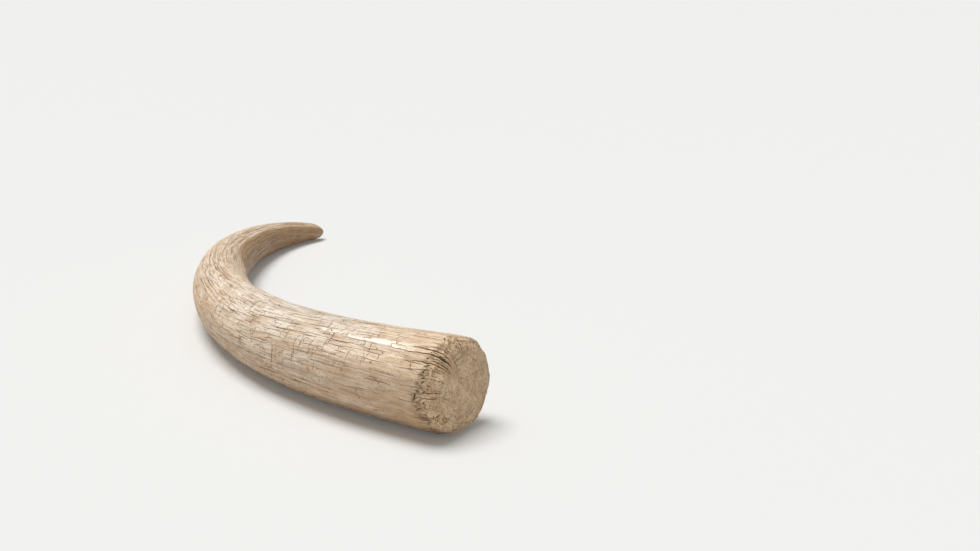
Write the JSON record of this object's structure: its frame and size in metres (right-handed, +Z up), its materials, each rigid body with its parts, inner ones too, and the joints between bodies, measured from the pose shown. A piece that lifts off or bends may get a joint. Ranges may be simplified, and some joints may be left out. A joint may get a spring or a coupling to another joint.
{
  "type": "mammoth tusk",
  "caption": "Weathered fossil tusk lying on its side: a long tapering curve with drying cracks, a blunt rounded tip and a rough broken face at the thick end.",
  "frame": {"origin": "on the floor, under the middle of the bounding box of the tusk as it lies", "axes": "+Z up; +Y along the longest extent, from the thick broken end towards the tip end; +X across, so that the curve's hollow side faces +X"},
  "size_m": [0.7846, 1.684, 0.2053],
  "materials": {
    "weathered_ivory": "dry weathered ivory: pale brown, nearly matt, with a soft sheen on the smoothest skin and dark drying cracks"
  },
  "bodies": {
    "root": {"tusk": "weathered_ivory"}
  },
  "joints": []
}
